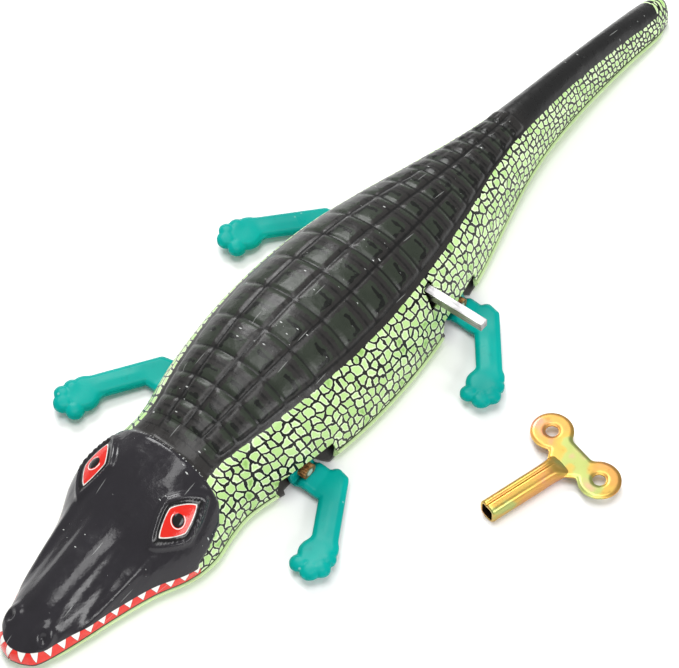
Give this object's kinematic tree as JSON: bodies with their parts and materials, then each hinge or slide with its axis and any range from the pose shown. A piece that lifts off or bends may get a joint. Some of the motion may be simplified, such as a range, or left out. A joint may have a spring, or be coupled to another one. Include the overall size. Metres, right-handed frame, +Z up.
{
  "type": "wind-up tin toy",
  "caption": "Wind-up pressed-tin crawling reptile with four rocking legs, a clockwork movement inside and a loose winding key beside it.",
  "frame": {"origin": "on the flat of the belly, in the body's middle plane and half way between nose and tail tip", "axes": "+X forward towards the nose, +Y towards the animal's left, +Z up"},
  "size_m": [0.24, 0.1165, 0.0296],
  "materials": {
    "shell_print": "gloss lithographed tin",
    "belly_green": "gloss lacquered tin",
    "plate_steel": "bare tinplate",
    "axle_steel": "yellow-passivated steel",
    "leg_teal": "gloss lacquer",
    "square_steel": "bright nickel",
    "brass": "stamped brass",
    "spring_steel": "blued spring steel",
    "key_zinc": "yellow passivated zinc on steel"
  },
  "bodies": {
    "frame": {"upper_shell": "shell_print", "belly_plate": "belly_green", "left_plate": "plate_steel", "right_plate": "plate_steel", "plate_pillars": "square_steel", "movement_rivets": "plate_steel", "mainspring": "spring_steel"},
    "great_wheel_body": {"great_wheel": "brass", "click_rivet": "square_steel", "click_spring": "spring_steel"},
    "winding_arbor_body": {"winding_arbor": "square_steel", "ratchet_wheel": "square_steel"},
    "click_body": {"click": "plate_steel"},
    "second_arbor_body": {"second_arbor": "square_steel", "second_wheel": "brass"},
    "crank_arbor_body": {"crank_arbor": "square_steel", "third_wheel": "brass", "crank_disc": "plate_steel", "crank_pin": "square_steel"},
    "escape_arbor_body": {"escape_arbor": "square_steel", "escape_wheel": "brass"},
    "verge_body": {"verge_arbor": "square_steel", "verge_plate": "plate_steel", "pallet_pins": "square_steel"},
    "front_axle_body": {"front_axle": "axle_steel", "front_rocker": "plate_steel", "front_rod_pin": "square_steel", "front_left_leg": "leg_teal", "front_right_leg": "leg_teal"},
    "rear_axle_body": {"rear_axle": "axle_steel", "rear_rocker": "plate_steel", "rear_rod_pin": "square_steel", "rear_left_leg": "leg_teal", "rear_right_leg": "leg_teal"},
    "rod_body": {"coupling_rod": "plate_steel"},
    "key_body": {"winding_key": "key_zinc"}
  },
  "joints": [
    {"name": "great_wheel_turn", "type": "hinge", "parent": "frame", "child": "great_wheel_body", "pos_m": [-0.0023, 0, 0.0178], "axis": [0, 1, 0], "continuous": true},
    {"name": "winding", "type": "hinge", "parent": "great_wheel_body", "child": "winding_arbor_body", "pos_m": [-0.0023, 0, 0.0178], "axis": [0, 1, 0], "range_deg": [-1440, 0]},
    {"name": "click_swing", "type": "hinge", "parent": "great_wheel_body", "child": "click_body", "pos_m": [-0.005, 0, 0.0236], "axis": [0, 1, 0], "range_deg": [0, 5]},
    {"name": "second_arbor_turn", "type": "hinge", "parent": "frame", "child": "second_arbor_body", "pos_m": [0.00853, 0, 0.01589], "axis": [0, 1, 0], "continuous": true},
    {"name": "crank_arbor_turn", "type": "hinge", "parent": "frame", "child": "crank_arbor_body", "pos_m": [0.01806, 0, 0.01039], "axis": [0, 1, 0], "continuous": true},
    {"name": "escape_arbor_turn", "type": "hinge", "parent": "frame", "child": "escape_arbor_body", "pos_m": [0.02793, 0, 0.01398], "axis": [0, 1, 0], "continuous": true},
    {"name": "verge_rock", "type": "hinge", "parent": "frame", "child": "verge_body", "pos_m": [0.03497, 0, 0.01548], "axis": [0, 1, 0], "range_deg": [-6, 6]},
    {"name": "front_axle_rock", "type": "hinge", "parent": "frame", "child": "front_axle_body", "pos_m": [0.0452, 0, 0.0044], "axis": [0, 1, 0], "range_deg": [-18, 18]},
    {"name": "rear_axle_rock", "type": "hinge", "parent": "frame", "child": "rear_axle_body", "pos_m": [-0.012, 0, 0.0044], "axis": [0, 1, 0], "range_deg": [-18, 18]},
    {"name": "rod_pivot", "type": "hinge", "parent": "front_axle_body", "child": "rod_body", "pos_m": [0.0452, 0, 0.01039], "axis": [0, 1, 0], "range_deg": [-18, 18]},
    {"name": "key_lift", "type": "slide", "parent": "frame", "child": "key_body", "axis": [0, 0, 1], "range_m": [0, 0.04]}
  ],
  "couplings": [
    {"joint": "second_arbor_turn", "follows": "great_wheel_turn", "ratio": -2.6667},
    {"joint": "crank_arbor_turn", "follows": "great_wheel_turn", "ratio": 7.1111},
    {"joint": "escape_arbor_turn", "follows": "great_wheel_turn", "ratio": -17.778},
    {"joint": "rear_axle_rock", "follows": "front_axle_rock", "ratio": 1},
    {"joint": "rod_pivot", "follows": "front_axle_rock", "ratio": -1}
  ]
}
